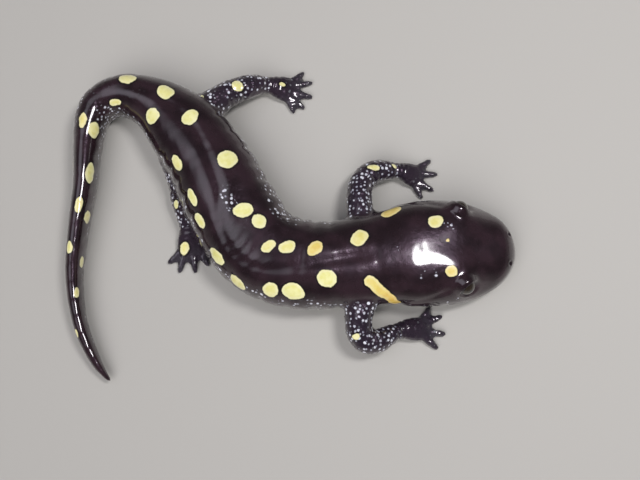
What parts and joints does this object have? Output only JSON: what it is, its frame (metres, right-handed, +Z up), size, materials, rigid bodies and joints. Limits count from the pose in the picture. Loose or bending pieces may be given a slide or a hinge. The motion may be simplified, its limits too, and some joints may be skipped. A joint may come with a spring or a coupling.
{
  "type": "spotted salamander model",
  "caption": "Life-size still model of a spotted salamander lying on its belly, trunk bent to the left and tail curled back beside it.",
  "frame": {"origin": "middle of the model's footprint, on the floor it lies on", "axes": "+X the way the head points, +Y the animal's left, +Z up"},
  "size_m": [0.0946, 0.0694, 0.0135],
  "materials": {
    "skin": "purplish black, smooth and wet-looking, with round yellow spots in two uneven rows",
    "eye": "polished near-black"
  },
  "bodies": {
    "root": {"head": "skin", "neck": "skin", "trunk_front": "skin", "trunk_middle": "skin", "trunk_rear": "skin", "pelvis": "skin", "tail_base": "skin", "tail_bend": "skin", "tail_middle": "skin", "tail_tip": "skin", "eye_left": "eye", "eye_right": "eye", "front_left_upper_arm": "skin", "front_left_forearm": "skin", "front_left_hand": "skin", "front_right_upper_arm": "skin", "front_right_forearm": "skin", "front_right_hand": "skin", "hind_left_thigh": "skin", "hind_left_shank": "skin", "hind_left_foot": "skin", "hind_right_thigh": "skin", "hind_right_shank": "skin", "hind_right_foot": "skin"}
  },
  "joints": []
}
